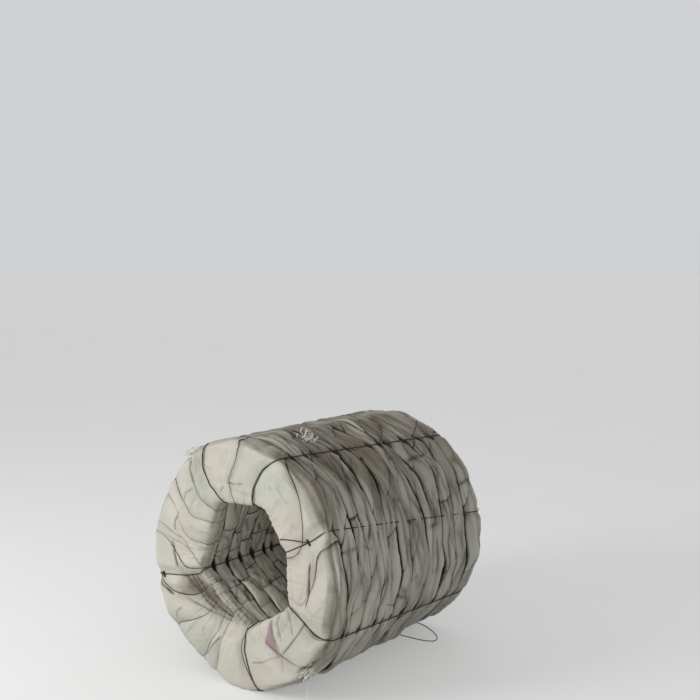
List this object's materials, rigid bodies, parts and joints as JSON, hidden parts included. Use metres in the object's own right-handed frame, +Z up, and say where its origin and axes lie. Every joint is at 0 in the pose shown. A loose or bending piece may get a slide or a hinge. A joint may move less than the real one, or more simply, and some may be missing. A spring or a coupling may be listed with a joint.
{
  "type": "tied bundle of wrapped razor wire coils",
  "caption": "Long ring-shaped bundle of packed razor wire coils, each wound over with woven plastic strip, lying on its side and tied through the bore with wire.",
  "frame": {"origin": "on the floor, below the middle of the bundle", "axes": "+Y along the coils' common axis, away from the front face; +Z up; +X to the right of one who looks along +Y"},
  "size_m": [0.7574, 0.7828, 0.7487],
  "materials": {
    "woven_wrap": "dusty off-white woven plastic strip",
    "wire_coil": "galvanized razor wire, packed",
    "tie_wire": "dark annealed iron wire"
  },
  "bodies": {
    "root": {"wrap_01": "woven_wrap", "wrap_02": "woven_wrap", "wrap_03": "woven_wrap", "wrap_04": "woven_wrap", "wrap_05": "woven_wrap", "wrap_06": "woven_wrap", "wrap_07": "woven_wrap", "wrap_08": "woven_wrap", "wrap_09": "woven_wrap", "wrap_10": "woven_wrap", "wrap_11": "woven_wrap", "wrap_12": "woven_wrap", "wrap_13": "woven_wrap", "coil_01": "wire_coil", "coil_02": "wire_coil", "coil_03": "wire_coil", "coil_04": "wire_coil", "coil_05": "wire_coil", "coil_06": "wire_coil", "coil_07": "wire_coil", "coil_08": "wire_coil", "coil_09": "wire_coil", "coil_10": "wire_coil", "coil_11": "wire_coil", "coil_12": "wire_coil", "coil_13": "wire_coil", "tie_wire_right": "tie_wire", "tie_wire_upper_right": "tie_wire", "tie_wire_upper_left": "tie_wire", "tie_wire_left": "tie_wire", "tie_wire_under": "tie_wire", "tie_wire_lower_right": "tie_wire"}
  },
  "joints": []
}
